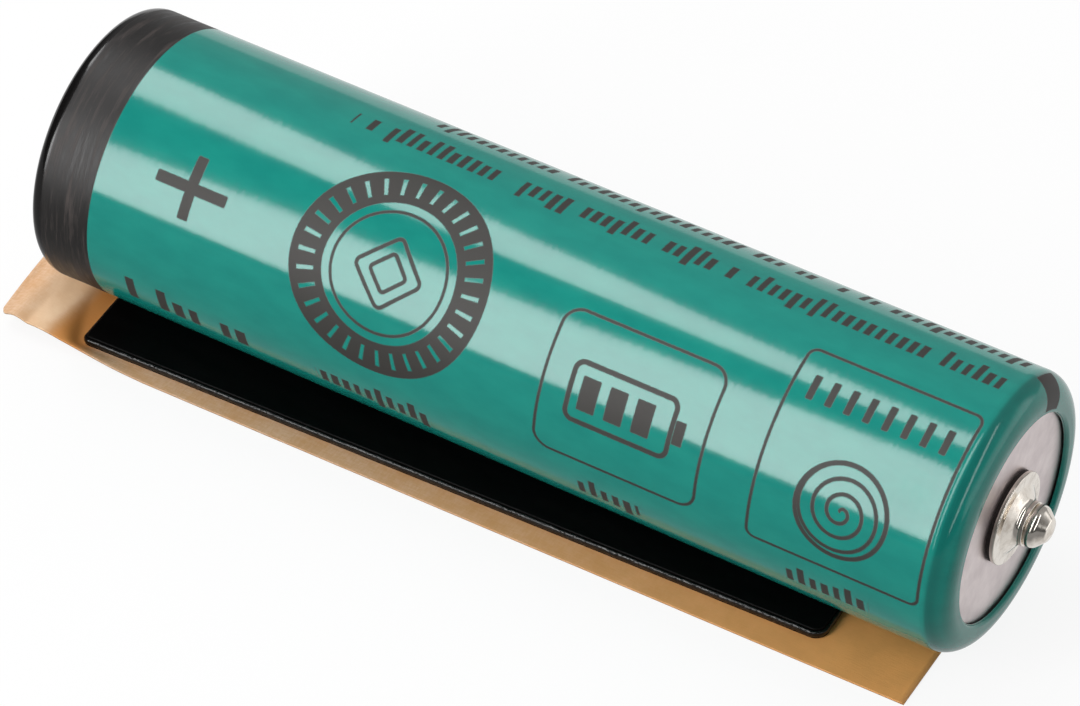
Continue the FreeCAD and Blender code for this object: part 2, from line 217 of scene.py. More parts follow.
# A closed slab from a grid: place(i, j, level) gives a point, with level 0 underneath and 1 on top
def slabPiece(name, columns, rows, levels, place, body, material):
    points, faces, index = [], [], {}

    def vertex(i, j, level):
        key = (i, j, level)
        if key not in index:
            index[key] = len(points)
            points.append(place(i, j, level))
        return index[key]

    for i in range(columns):
        for j in range(rows):
            faces.append([vertex(i + di, j + dj, 1.0) for di, dj in ((0, 0), (1, 0), (1, 1), (0, 1))])
            faces.append([vertex(i + di, j + dj, 0.0) for di, dj in ((0, 0), (0, 1), (1, 1), (1, 0))])
    rim = [(i, 0) for i in range(columns)] + [(columns, j) for j in range(rows)]
    rim += [(i, rows) for i in range(columns, 0, -1)] + [(0, j) for j in range(rows, 0, -1)]
    for n, (i, j) in enumerate(rim):
        k, m = rim[(n + 1) % len(rim)]
        for low, high in zip(levels, levels[1:]):
            faces.append([vertex(i, j, low), vertex(k, m, low), vertex(k, m, high), vertex(i, j, high)])
    return finishMesh(name, points, faces, body, material)


cameraSetup = {"azimuth": 31.05, "elevation": 44.69, "distance": 271.6, "lens": 190.3, "aim": (-0.33, -1.43)}


def setCamera(setup):
    azimuth, elevation = math.radians(setup["azimuth"]), math.radians(setup["elevation"])
    level = math.cos(elevation)
    back = Vector((math.sin(azimuth) * level, -math.cos(azimuth) * level, math.sin(elevation)))
    turn = back.to_track_quat("Z", "Y")
    right, up = turn @ Vector((1, 0, 0)), turn @ Vector((0, 1, 0))
    data = bpy.data.cameras.new("camera")
    data.lens = setup["lens"]
    data.sensor_width = 36
    data.clip_start = 0.01
    camera = bpy.data.objects.new("camera", data)
    aim = cellMiddle + right * setup["aim"][0] + up * setup["aim"][1]
    camera.location = (aim + back * setup["distance"]) * mm
    camera.rotation_mode = "QUATERNION"
    camera.rotation_quaternion = turn
    bpy.context.scene.collection.objects.link(camera)
    bpy.context.scene.camera = camera


setCamera(cameraSetup)
bpy.context.scene.view_settings.view_transform = "Standard"

# Each softbox stands half a metre away: lean is towards +X, climb is from the front up over the top. Its
# outline is what the flags leave open, in metres on its own plane, towards +X and up. Brightness is what a
# mirror would show, with 1 as white. The two strips only show in gloss and light nothing.
softboxes = {
    "frontSoftbox": {
        "lean": -23, "climb": 36, "brightness": 7.5, "lights": True,
        "outline": [(-0.095, -0.252), (0.09, -0.256), (0.09, 0.355), (-0.095, -0.03)],
    },
    "topSoftbox": {
        "lean": -26, "climb": 100, "brightness": 6.5, "lights": True,
        "outline": [(-0.07, 0.01), (-0.003, -0.111), (0.033, -0.136), (0.115, -0.136), (0.115, -0.07),
                    (-0.055, 0.19)],
    },
    "nearStrip": {
        "lean": 4, "climb": 51, "brightness": 4.6, "lights": False,
        "outline": [(-0.012, -0.5), (0.012, -0.5), (0.036, -0.05), (0.042, 0.30), (0.012, 0.60),
                    (-0.012, 0.60), (-0.042, 0.30), (-0.036, -0.05)],
    },
    "slantStrip": {
        "lean": 49, "climb": 72, "brightness": 3.4, "lights": False,
        "outline": [(0.12, -0.38), (0.055, 0.0), (-0.09, 0.42), (-0.14, 0.38), (-0.01, -0.04),
                    (0.08, -0.38)],
    },
}
studio = {
    "boxDistance": 0.5, "fill": (0.10, 0.84), "fillFrom": (-0.6, 0.62, 0.5), "ceiling": (0.08, 0.32),
    "rightWall": 1.05, "floor": "b4b4b4", "paper": "f6f6f6", "floorSize": 3.0, "floorDrop": 0.02,
    "glow": (0.88, 0.85), "sweep": (0.2, 0.86), "sweepReach": (-12, 3),
}
# Where in the room each wall fades in, on the -1 to 1 of its direction
walls = {
    "right": (0.45, 0.6), "front": (-0.35, -0.15), "above": (0.15, 0.5), "behind": (-0.2, 0.6),
    "left": (-0.85, -0.5), "leftShare": 0.15,
}


def addSoftbox(name, box):
    lean, climb = math.radians(box["lean"]), math.radians(box["climb"])
    outward = Vector((math.sin(lean), -math.cos(lean) * math.cos(climb), math.cos(lean) * math.sin(climb)))
    climbing = Vector((0, math.sin(climb), math.cos(climb)))
    leaning = climbing.cross(outward)
    middle = cellMiddle * mm + outward * studio["boxDistance"]
    corners = [middle + leaning * across + climbing * up for across, up in box["outline"]]
    material = bpy.data.materials.new(name + "Cloth")
    tree = emptyTree(material)
    cloth = addNode(tree, "Emission", {"Color": (1, 1, 1, 1), "Strength": box["brightness"]})
    dark = addNode(tree, "Emission", {"Color": (0, 0, 0, 1)})
    behind = addNode(tree, "NewGeometry").outputs["Backfacing"]
    sides = addNode(tree, "MixShader", [behind, cloth, dark])
    addNode(tree, "OutputMaterial", {"Surface": sides})
    mesh = bpy.data.meshes.new(name)
    mesh.from_pydata(corners, [], [tuple(range(len(corners)))[::-1]])
    mesh.materials.append(material)
    lamp = bpy.data.objects.new(name, mesh)
    lamp.visible_camera = False
    lamp.visible_diffuse = box["lights"]
    bpy.context.scene.collection.objects.link(lamp)


for boxName, boxValues in softboxes.items():
    addSoftbox(boxName, boxValues)


# 1 for the rays by which gloss and glass see the room
def shinyRays(tree, rays):
    ends = [rays.outputs["Is Glossy Ray"], rays.outputs["Is Transmission Ray"]]
    return addNode(tree, "Math", ends, operation="MAXIMUM")


# White all round for the eye. What mirrors the room sees a dark front and left, a dim wall behind and a
# bright low one on the right. The soft light that fills the shadows comes mostly from one side.
def setWorld():
    world = bpy.data.worlds.new("studioRoom")
    tree = emptyTree(world)
    direction = addNode(tree, "TexCoord").outputs["Generated"]
    parts = addNode(tree, "SeparateXYZ", [direction])
    onRight = addNode(tree, "MapRange", [
        parts.outputs["X"], *walls["right"], 0.0, studio["rightWall"],
    ], **smooth)
    notInFront = addNode(tree, "MapRange", [parts.outputs["Y"], *walls["front"]], **smooth)
    notAbove = addNode(tree, "MapRange", [parts.outputs["Z"], *walls["above"], 1.0, 0.0], **smooth)
    tall = addNode(tree, "Math", [onRight, notInFront], operation="MULTIPLY")
    wall = addNode(tree, "Math", [tall, notAbove], operation="MULTIPLY")
    towards = addNode(tree, "VectorMath", [direction, studio["fillFrom"]], operation="DOT_PRODUCT")
    soft = addNode(tree, "MapRange", [towards, -1, 1, *studio["fill"]])
    behind = addNode(tree, "MapRange", [parts.outputs["Y"], *walls["behind"], *studio["ceiling"]], **smooth)
    notLeft = addNode(tree, "MapRange", [
        parts.outputs["X"], *walls["left"], walls["leftShare"], 1.0,
    ], **smooth)
    dim = addNode(tree, "Math", [behind, notLeft], operation="MULTIPLY")
    mirrored = addNode(tree, "Math", [dim, wall], operation="ADD")
    rays = addNode(tree, "LightPath")
    shiny = shinyRays(tree, rays)
    forRoom = addNode(tree, "Mix", {0: shiny, 2: soft, 3: mirrored}, data_type="FLOAT")
    strength = addNode(tree, "Mix", {0: rays.outputs["Is Camera Ray"], 2: forRoom, 3: 1.0}, data_type="FLOAT")
    background = addNode(tree, "Background", {"Color": (1, 1, 1, 1), "Strength": strength})
    addNode(tree, "OutputWorld", {"Surface": background})
    bpy.context.scene.world = world


setWorld()


# Matt white paper sweep. For the eye it mostly glows, evenly, so the eye gets white paper with a light
# shadow.
# What gloss sees of it glows too, with painted shade towards the front. Seen from underneath it lets the eye
# through to the piece.
def makeFloor():
    material, tree, surface, place = startMaterial("mattPaperSweep", Roughness=0.9)
    surface.inputs["Specular IOR Level"].default_value = 0.1
    rays = addNode(tree, "LightPath")
    seen = rays.outputs["Is Camera Ray"]
    tones = {0: seen, 6: fromHex(studio["floor"]), 7: fromHex(studio["paper"])}
    colour = addNode(tree, "Mix", tones, data_type="RGBA")
    tree.links.new(colour.outputs[2], surface.inputs["Base Color"])
    shiny = shinyRays(tree, rays)
    # Painted shade towards the front in what gloss sees of the floor
    depth = addNode(tree, "SeparateXYZ", [place]).outputs["Y"]
    toBack = addNode(tree, "MapRange", [depth, *studio["sweepReach"], *studio["sweep"]], **smooth)
    strength = addNode(tree, "Mix", {0: shiny, 2: 1.0, 3: toBack}, data_type="FLOAT")
    glow = addNode(tree, "Emission", {"Color": (1, 1, 1, 1), "Strength": strength})
    shinyShare = addNode(tree, "Math", [shiny, studio["glow"][1]], operation="MULTIPLY")
    share = addNode(tree, "Math", [seen, studio["glow"][0], shinyShare], operation="MULTIPLY_ADD")
    lit = addNode(tree, "MixShader", [share, surface, glow])
    clear = addNode(tree, "BsdfTransparent")
    fromBelow = addNode(tree, "NewGeometry").outputs["Backfacing"]
    mixed = addNode(tree, "MixShader", [fromBelow, lit, clear])
    output = [node for node in tree.nodes if node.type == "OUTPUT_MATERIAL"][0]
    tree.links.new(mixed.outputs[0], output.inputs["Surface"])
    half = studio["floorSize"] / 2
    mesh = bpy.data.meshes.new("floor")
    level = -studio["floorDrop"] * mm
    corners = [(-half, -half, level), (half, -half, level), (half, half, level), (-half, half, level)]
    mesh.from_pydata(corners, [], [(0, 1, 2, 3)])
    mesh.materials.append(material)
    floor = bpy.data.objects.new("floor", mesh)
    bpy.context.scene.collection.objects.link(floor)


makeFloor()
print("studio ready")

# Printed marks, in millimetres on the sleeve's unrolled skin
print("sleeve")
marks = {
    "bandEdge": -21.65,
    "line": 0.16,
    "plus": {"centre": (-16.65, 5.3), "along": 3.94, "round": 3.2, "stroke": 0.58},
    "minus": {"centre": (25.15, 15.0), "size": (1.8, 1.85)},
    "dial": {"centre": (-5.6, 5.2), "radius": 4.35, "width": 1.75, "ticks": 32, "tickWidth": 0.2,
             "tickLength": 0.9, "innerLine": 3.0, "diamond": 2.6, "diamondLine": 0.2, "nested": (1.0, 0.55)},
    "cellFrame": {"centre": (7.75, 3.55), "size": (8.6, 7.3), "corner": 0.9},
    "cellSign": {"centre": (7.6, 3.55), "size": (5.4, 2.9), "corner": 0.45, "line": 0.26, "nub": (0.55, 1.2),
                 "bars": 3, "bar": (0.95, 1.7), "firstBar": 1.0, "barGap": 1.45},
    "coilFrame": {"centre": (19.3, 4.85), "size": (8.9, 10.0), "corner": 0.45},
    "coilSign": {"centre": (19.3, 3.1), "radius": 2.3, "pitch": 0.72, "line": 0.2, "rim": 0.24},
    "coilBars": {"from": 15.9, "gap": 0.98, "count": 8, "v": 8.0, "size": (0.36, 1.25)},
    "dashes": {"halfWidth": (0.24, 0.34), "rise": (0.62, 0.66, 0.42), "drop": (0.84, 0.88, 0.36),
               "gap": (0.12, 0.13)},
    "rows": [
        {"span": (-11.4, 23.4), "v": 12.25, "height": 0.95, "step": 0.56, "seed": 3.0},
        {"span": (-8.3, 23.6), "v": 15.1, "height": 0.95, "step": 0.56, "seed": 41.0},
        {"span": (-19.6, -12.4), "v": -2.0, "height": 1.2, "step": 0.9, "seed": 77.0},
        {"span": (-8.8, -2.4), "v": -2.2, "height": 0.95, "step": 0.62, "seed": 90.0},
        {"span": (5.6, 9.0), "v": -2.2, "height": 0.95, "step": 0.62, "seed": 12.0},
        {"span": (16.9, 21.2), "v": -1.95, "height": 0.95, "step": 0.62, "seed": 60.0},
    ],
}


# Distances are negative inside a shape and positive outside it
def blockDistance(tree, place, centre, size, rounding=0.08, turn=0.0):
    local = addNode(tree, "VectorMath", [place, (*centre, 0)], operation="SUBTRACT")
    if turn:
        local = addNode(tree, "VectorRotate", {"Vector": local, "Angle": turn}, rotation_type="Z_AXIS")
    atBandRim = addNode(tree, "VectorMath", [local], operation="ABSOLUTE")
    inner = (size[0] / 2 - rounding, size[1] / 2 - rounding, 0)
    beyond = addNode(tree, "VectorMath", [atBandRim, inner], operation="SUBTRACT")
    outside = addNode(tree, "VectorMath", [beyond, (0, 0, 0)], operation="MAXIMUM")
    length = addNode(tree, "VectorMath", [outside], operation="LENGTH").outputs["Value"]
    return addNode(tree, "Math", [length, rounding], operation="SUBTRACT")


def polar(tree, place, centre):
    local = addNode(tree, "VectorMath", [place, (*centre, 0)], operation="SUBTRACT")
    parts = addNode(tree, "SeparateXYZ", [local])
    radius = addNode(tree, "VectorMath", [local], operation="LENGTH").outputs["Value"]
    angle = addNode(tree, "Math", [parts.outputs["Y"], parts.outputs["X"]], operation="ARCTAN2")
    return radius, angle


def strokeOf(tree, distance, width, offset=0.0):
    fromLine = addNode(tree, "Math", [distance, offset], operation="SUBTRACT")
    away = addNode(tree, "Math", [fromLine], operation="ABSOLUTE")
    return addNode(tree, "Math", [away, width / 2], operation="SUBTRACT")


# Distance to the nearest of evenly repeated lines, in units of value
def repeatedLine(tree, value, pitch, width):
    turns = addNode(tree, "Math", [value, pitch], operation="DIVIDE")
    part = addNode(tree, "Math", [turns], operation="FRACT")
    fromMiddle = strokeOf(tree, part, 0.0, 0.5)
    return addNode(tree, "Math", [fromMiddle, pitch, -width / 2], operation="MULTIPLY_ADD")


# A row of upright dashes, some taller, with gaps as between words. Each slot rolls its dice for the width, in
# steps, and for the rise and the drop past the row, in row heights.
def blockRow(tree, u, v, row):
    low, high = row["span"]
    dash = marks["dashes"]
    narrow, wide = [share * row["step"] for share in dash["halfWidth"]]
    riseFrom, riseFull, riseShare = dash["rise"]
    dropFrom, dropFull, dropShare = dash["drop"]
    slots = addNode(tree, "Math", [u, 1 / row["step"], row["seed"]], operation="MULTIPLY_ADD")
    slot = addNode(tree, "Math", [slots], operation="FLOOR")
    part = addNode(tree, "Math", [slots], operation="FRACT")
    dice = addNode(tree, "TexWhiteNoise", {"W": slot}, noise_dimensions="1D")
    rolls = addNode(tree, "SeparateColor", [dice.outputs["Color"]])
    halfWidth = addNode(tree, "MapRange", [rolls.outputs[0], 0, 1, narrow, wide])
    rise = addNode(tree, "MapRange", [rolls.outputs[1], riseFrom, riseFull, 0, riseShare * row["height"]])
    drop = addNode(tree, "MapRange", [rolls.outputs[2], dropFrom, dropFull, 0, dropShare * row["height"]])
    lift = addNode(tree, "Math", [rise, drop], operation="SUBTRACT")
    middle = addNode(tree, "Math", [lift, 0.5, row["v"]], operation="MULTIPLY_ADD")
    extra = addNode(tree, "Math", [rise, drop], operation="ADD")
    halfHeight = addNode(tree, "Math", [extra, 0.5, row["height"] / 2], operation="MULTIPLY_ADD")
    fromSlot = strokeOf(tree, part, 0.0, 0.5)
    acrossFull = addNode(tree, "Math", [fromSlot, row["step"]], operation="MULTIPLY")
    across = addNode(tree, "Math", [acrossFull, halfWidth], operation="SUBTRACT")
    fromRow = addNode(tree, "Math", [v, middle], operation="SUBTRACT")
    upFull = addNode(tree, "Math", [fromRow], operation="ABSOLUTE")
    upward = addNode(tree, "Math", [upFull, halfHeight], operation="SUBTRACT")
    block = addNode(tree, "Math", [across, upward], operation="MAXIMUM")
    gap = addNode(tree, "MapRange", [dice.outputs["Value"], *dash["gap"], 1.0, 0.0])
    shown = addNode(tree, "Math", [block, gap], operation="ADD")
    alongRow = strokeOf(tree, u, high - low, (low + high) / 2)
    return addNode(tree, "Math", [shown, alongRow], operation="MAXIMUM")


def printedMarks(tree, skin):
    parts = addNode(tree, "SeparateXYZ", [skin])
    u, v = parts.outputs["X"], parts.outputs["Y"]
    line = marks["line"]
    shapes = []
    plus, minus = marks["plus"], marks["minus"]
    shapes.append(blockDistance(tree, skin, plus["centre"], (plus["along"], plus["stroke"])))
    shapes.append(blockDistance(tree, skin, plus["centre"], (plus["stroke"], plus["round"])))
    shapes.append(blockDistance(tree, skin, minus["centre"], minus["size"]))

    dial = marks["dial"]
    radius, angle = polar(tree, skin, dial["centre"])
    band = strokeOf(tree, radius, dial["width"], dial["radius"])
    pitch = 2 * math.pi / dial["ticks"]
    turned = repeatedLine(tree, angle, pitch, dial["tickWidth"] / dial["radius"])
    tickSide = addNode(tree, "Math", [turned, dial["radius"]], operation="MULTIPLY")
    tickEnds = strokeOf(tree, radius, dial["tickLength"], dial["radius"])
    tick = addNode(tree, "Math", [tickSide, tickEnds], operation="MAXIMUM")
    notTick = addNode(tree, "Math", [tick, -1.0], operation="MULTIPLY")
    shapes.append(addNode(tree, "Math", [band, notTick], operation="MAXIMUM"))
    shapes.append(strokeOf(tree, radius, line, dial["innerLine"]))
    for share in dial["nested"]:
        side = dial["diamond"] * share
        diamond = blockDistance(tree, skin, dial["centre"], (side, side), 0.25 * share + 0.05, math.pi / 4)
        shapes.append(strokeOf(tree, diamond, dial["diamondLine"]))

    for name in ("cellFrame", "coilFrame"):
        box = marks[name]
        outline = blockDistance(tree, skin, box["centre"], box["size"], box["corner"])
        shapes.append(strokeOf(tree, outline, line))

    sign = marks["cellSign"]
    centre, size = sign["centre"], sign["size"]
    shapes.append(strokeOf(tree, blockDistance(tree, skin, centre, size, sign["corner"]), sign["line"]))
    nubPlace = (centre[0] + size[0] / 2 + sign["nub"][0] / 2 + 0.13, centre[1])
    shapes.append(blockDistance(tree, skin, nubPlace, sign["nub"]))
    for bar in range(sign["bars"]):
        place = (centre[0] - size[0] / 2 + sign["firstBar"] + bar * sign["barGap"], centre[1])
        shapes.append(blockDistance(tree, skin, place, sign["bar"]))

    coil = marks["coilSign"]
    radius, angle = polar(tree, skin, coil["centre"])
    perTurn = coil["pitch"] / (2 * math.pi)
    wound = addNode(tree, "Math", [angle, perTurn, radius], operation="MULTIPLY_ADD")
    spiral = repeatedLine(tree, wound, coil["pitch"], coil["line"])
    disc = addNode(tree, "Math", [radius, coil["radius"]], operation="SUBTRACT")
    shapes.append(addNode(tree, "Math", [spiral, disc], operation="MAXIMUM"))
    shapes.append(strokeOf(tree, radius, coil["rim"], coil["radius"]))
    bars = marks["coilBars"]
    for bar in range(bars["count"]):
        shapes.append(blockDistance(tree, skin, (bars["from"] + bar * bars["gap"], bars["v"]), bars["size"]))

    for row in marks["rows"]:
        shapes.append(blockRow(tree, u, v, row))

    nearest = shapes[0]
    for shape in shapes[1:]:
        nearest = addNode(tree, "Math", [nearest, shape], operation="MINIMUM")
    return nearest


# Both ends of the film tube roll inwards; the lip on the negative end stands a little off the can, so a dark
# gap shows under its edge. The film has shrunk into low creases round its rims, each with place, width and
# height. The rims are drawn in fine steps, so that what they mirror has no facets.
sleeveShape = {
    "wall": 0.1, "lipWall": 0.25, "negativeRim": 1.3, "positiveRim": 0.6, "negativeOpening": 5.27,
    "positiveOpening": 5.4, "lipEdge": 0.17, "negativeLip": 0.33, "positiveLip": 0.2, "recess": 0.4,
    "innerRim": 0.82, "segments": 288, "rimSteps": 48,
    "creases": [(-24.42, 0.16, 0.022), (23.9, 0.16, 0.008), (24.4, 0.3, 0.014)], "creaseWander": 0.05,
    "drift": 0.006, "lipWave": 0.05,
}

# Green PVC film shrunk on by heat and printed dark: clear gloss over an even colour, darkened with painted
# shade round the shoulder of the negative rim. A fine corrugation round the cell feathers what it mirrors,
# and faint lines along the cell, left where the film was extruded, unsettle it.
film = {
    "green": "178d80", "greenDeep": "12857a", "greenShoulderShade": "0a5a53", "ink": "362120", "inkOpacity": 0.93,
    "band": "191615", "bandScuff": "473e3b", "bandRimShade": "100f0f", "gloss": 0.12, "inkGloss": 0.62,
    "bandGloss": 0.36, "ripple": (0.28, 1.0, 1), "rippleDepth": 0.0028, "drawLines": (9.0, 0.24, 1),
    "drawDepth": 0.0011, "mottle": (2.5, 1.2, 1), "scuff": (0.25, 3.5, 1), "inkSpread": 0.12,
    "inkRagged": 0.05, "inkSoft": 0.045, "shoulderShadeRise": (0.2, 0.42, 0.68), "shoulderShadeFall": (0.5, 1.15),
    "bandRimReach": (0.62, 0.82),
}


def shrunkPrintedFilm():
    material, tree, surface, place = startMaterial("shrunkPrintedPvcFilm", IOR=1.53)
    skin = addNode(tree, "UVMap", uv_map="millimetres")
    spread = grain(tree, skin, film["inkSpread"], 2.0)
    marksDistance = printedMarks(tree, skin)
    raggedness, soft = film["inkRagged"], film["inkSoft"]
    ragged = addNode(tree, "Math", [spread, raggedness, -raggedness / 2], operation="MULTIPLY_ADD")
    edge = addNode(tree, "Math", [marksDistance, ragged], operation="ADD")
    inked = addNode(tree, "MapRange", [edge, soft, -soft, 0.0, film["inkOpacity"]], **smooth)
    along = addNode(tree, "SeparateXYZ", [skin]).outputs["X"]
    bandEnd = marks["bandEdge"]
    banded = addNode(tree, "MapRange", [along, bandEnd - 0.04, bandEnd + 0.04, 1.0, 0.0], **smooth)
    mottle = grain(tree, skin, film["mottle"])
    green = twoShades(tree, mottle, 0.35, 0.65, film["green"], film["greenDeep"])
    # Painted shade: a darker green round the shoulder of the negative rim
    shoulder = sleeveHigh.x - sleeveShape["negativeRim"]
    start, full, most = film["shoulderShadeRise"]
    hold, end = film["shoulderShadeFall"]
    rising = addNode(tree, "MapRange", [along, shoulder + start, shoulder + full, 0.0, most], **smooth)
    falling = addNode(tree, "MapRange", [along, shoulder + hold, shoulder + end, 1.0, 0.0], **smooth)
    shoulderShade = addNode(tree, "Math", [rising, falling], operation="MULTIPLY")
    green = addNode(tree, "Mix", {0: shoulderShade, 6: green, 7: fromHex(film["greenShoulderShade"])}, data_type="RGBA")
    wear = grain(tree, skin, film["scuff"], 4.0, 0.7)
    worn = twoShades(tree, wear, 0.5, 0.72, film["band"], film["bandScuff"])
    # Painted shade: near-black on the band where it rolls over the positive rim, which also gets the film's
    # gloss
    bandRimStart, bandRimEnd = [sleeveLow.x + reach for reach in film["bandRimReach"]]
    atBandRim = addNode(tree, "MapRange", [along, bandRimStart, bandRimEnd, 1.0, 0.0], **smooth)
    dark = addNode(tree, "Mix", {0: atBandRim, 6: worn, 7: fromHex(film["bandRimShade"])}, data_type="RGBA")
    printed = addNode(tree, "Mix", {0: inked, 6: green, 7: fromHex(film["ink"])}, data_type="RGBA")
    colour = addNode(tree, "Mix", {0: banded, 6: printed, 7: dark}, data_type="RGBA")
    inkRough = addNode(tree, "MapRange", [inked, 0, 1, film["gloss"], film["inkGloss"]])
    bandRough = addNode(tree, "MapRange", [wear, 0.3, 0.7, film["bandGloss"], film["bandGloss"] + 0.3])
    bandRimRough = addNode(tree, "Mix", {0: atBandRim, 2: bandRough, 3: film["gloss"]}, data_type="FLOAT")
    rough = addNode(tree, "Mix", {0: banded, 2: inkRough, 3: bandRimRough}, data_type="FLOAT")
    coat(tree, surface, colour, rough)
    ripple = grain(tree, skin, film["ripple"], 2.0)
    drawLines = grain(tree, skin, film["drawLines"], 2.0)
    low = relief(tree, surface, drawLines, film["drawDepth"])
    relief(tree, surface, ripple, film["rippleDepth"], under=low)
    return material


def makeSleeve(shape, material):
    right, left = sleeveHigh.x, sleeveLow.x
    inner = sleeveRadius - shape["wall"]
    lipInside = right - shape["lipWall"]
    canFace = right - shape["negativeLip"]
    corners = [
        (lipInside, shape["negativeOpening"], 0.05),
        (right, shape["negativeOpening"], shape["lipEdge"]),
        (right, sleeveRadius, shape["negativeRim"]),
        (left, sleeveRadius, shape["positiveRim"]),
        (left, shape["positiveOpening"], 0.06),
        (left + shape["positiveLip"], shape["positiveOpening"], 0.06),
        (left + shape["positiveLip"], inner, shape["positiveRim"] - shape["wall"]),
        (canFace, inner, shape["innerRim"]),
        (canFace, shape["negativeOpening"] + shape["recess"], 0.05),
        (lipInside, shape["negativeOpening"] + shape["recess"], 0.05),
    ]
    skin = roundedPath(corners, arcSteps=shape["rimSteps"], longest=1.2)

    def wobble(x, r, angle):
        drift = noise.noise(Vector((x * 0.16, math.cos(angle) * 1.6, math.sin(angle) * 1.6)))
        r += shape["drift"] * drift
        if r > sleeveRadius - 0.6:
            for place, width, height in shape["creases"]:
                around = Vector((place, math.cos(angle) * 1.1, math.sin(angle) * 1.1))
                middle = place + shape["creaseWander"] * noise.noise(around)
                swelling = height * (0.75 + 0.6 * noise.noise(around * 2))
                r += swelling * math.exp(-((x - middle) / width) ** 2)
        nearLip = max(0.0, 1 - (r - shape["negativeOpening"]) / 0.5) if x > canFace - 0.1 else 0.0
        lipDrift = noise.noise(Vector((3.1, math.cos(angle) * 1.3, math.sin(angle) * 1.3)))
        return x, r + shape["lipWave"] * lipDrift * min(1.0, nearLip)

    sleeve = turnedPiece(
        "printed_sleeve", skin, shape["segments"], "cell", material, wobble=wobble,
    )
    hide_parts("sleeve")


makeSleeve(sleeveShape, shrunkPrintedFilm())


# Round the cell's axis: distance from it and angle about it, for marks left by turning and drawing
def roundAxis(tree, place):
    local = addNode(tree, "VectorMath", [place, (0, 0, axisHeight)], operation="SUBTRACT")
    parts = addNode(tree, "SeparateXYZ", [local])
    flat = addNode(tree, "CombineXYZ", [parts.outputs["Y"], parts.outputs["Z"]])
    radius = addNode(tree, "VectorMath", [flat], operation="LENGTH").outputs["Value"]
    return parts.outputs["X"], radius


metals = {
    "can": {"bright": "e2d6d5", "dull": "d4c8c8", "rough": 0.30, "uneven": 0.10},
    "pin": {"bright": "f3ece2", "dull": "d9cfc4", "footShade": "241916", "rough": 0.08, "ring": 0.07},
}


# Deep-drawn steel, barrel plated with nickel: a satin, slightly warm grey that mirrors softly, with faint
# drawing rings
def platedDrawnSteel():
    values = metals["can"]
    material, tree, surface, place = startMaterial("platedDrawnSteel", Metallic=1.0)
    x, radius = roundAxis(tree, place)
    rings = addNode(tree, "CombineXYZ", [radius, x])
    drawn = grain(tree, rings, (0.06, 0.25, 1), 2.0)
    blotch = grain(tree, place, 1.1, 4.0)
    fine = grain(tree, place, 0.09, 2.0)
    colour = twoShades(tree, blotch, 0.35, 0.65, values["bright"], values["dull"])
    rough = addNode(tree, "MapRange", [blotch, 0.3, 0.7, values["rough"], values["rough"] + values["uneven"]])
    coat(tree, surface, colour, rough)
    low = relief(tree, surface, fine, 0.0012)
    relief(tree, surface, drawn, 0.0006, under=low)
    return material


# The contact pin, in millimetres from the can's face: each step's radius, then where it ends. It was welded
# on a little high and its stud is bent up. Its sunk end hides in the can.
pinShape = {
    "sunk": 0.16, "foot": (2.27, 0.19), "flange": (2.33, 0.42), "flare": (1.78, 0.86), "stud": (1.11, 1.2),
    "groove": (0.92, 1.28), "head": (1.06, 1.62), "crown": (0.56, 2.15), "tip": 2.27, "lean": 4.3,
    "lift": 0.12, "segments": 160,
}


# Brass turned on a lathe and plated with bright nickel: mirror-like, with fine rings from the tool. Its foot
# and the underside of its flange are painted a matt brown-black as shade in the gap over the can.
def brightTurnedNickel():
    values = metals["pin"]
    material, tree, surface, place = startMaterial("brightTurnedNickel", Metallic=1.0)
    x, radius = roundAxis(tree, place)
    along = addNode(tree, "Math", [x, radius], operation="ADD")
    path = addNode(tree, "CombineXYZ", [along])
    rings = grain(tree, path, values["ring"], 2.0)
    stain = grain(tree, place, 0.5, 4.0)
    plated = twoShades(tree, stain, 0.45, 0.7, values["bright"], values["dull"])
    skin = addNode(tree, "UVMap", uv_map="millimetres")
    reach = addNode(tree, "SeparateXYZ", [skin]).outputs["X"]
    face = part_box("contact_pin")[0].x / mm
    # Painted shade, matt brown-black, on the foot and the flange's underside in the gap over the can
    footShadeEnd = face - 2 * pinShape["sunk"] - pinShape["foot"][1] - pinShape["flange"][0]
    pastFootShade = addNode(tree, "MapRange", [reach, footShadeEnd + 0.02, footShadeEnd - 0.03])
    colour = addNode(tree, "Mix", {0: pastFootShade, 6: fromHex(values["footShade"]), 7: plated}, data_type="RGBA")
    tree.links.new(pastFootShade.outputs[0], surface.inputs["Metallic"])
    shine = addNode(tree, "MapRange", [stain, 0.35, 0.7, values["rough"], values["rough"] + 0.12])
    rough = addNode(tree, "Mix", {0: pastFootShade, 2: 0.7, 3: shine}, data_type="FLOAT")
    coat(tree, surface, colour, rough)
    dents = grain(tree, place, 0.35, 2.0)
    low = relief(tree, surface, dents, 0.006)
    relief(tree, surface, rings, 0.0014, under=low)
    return material


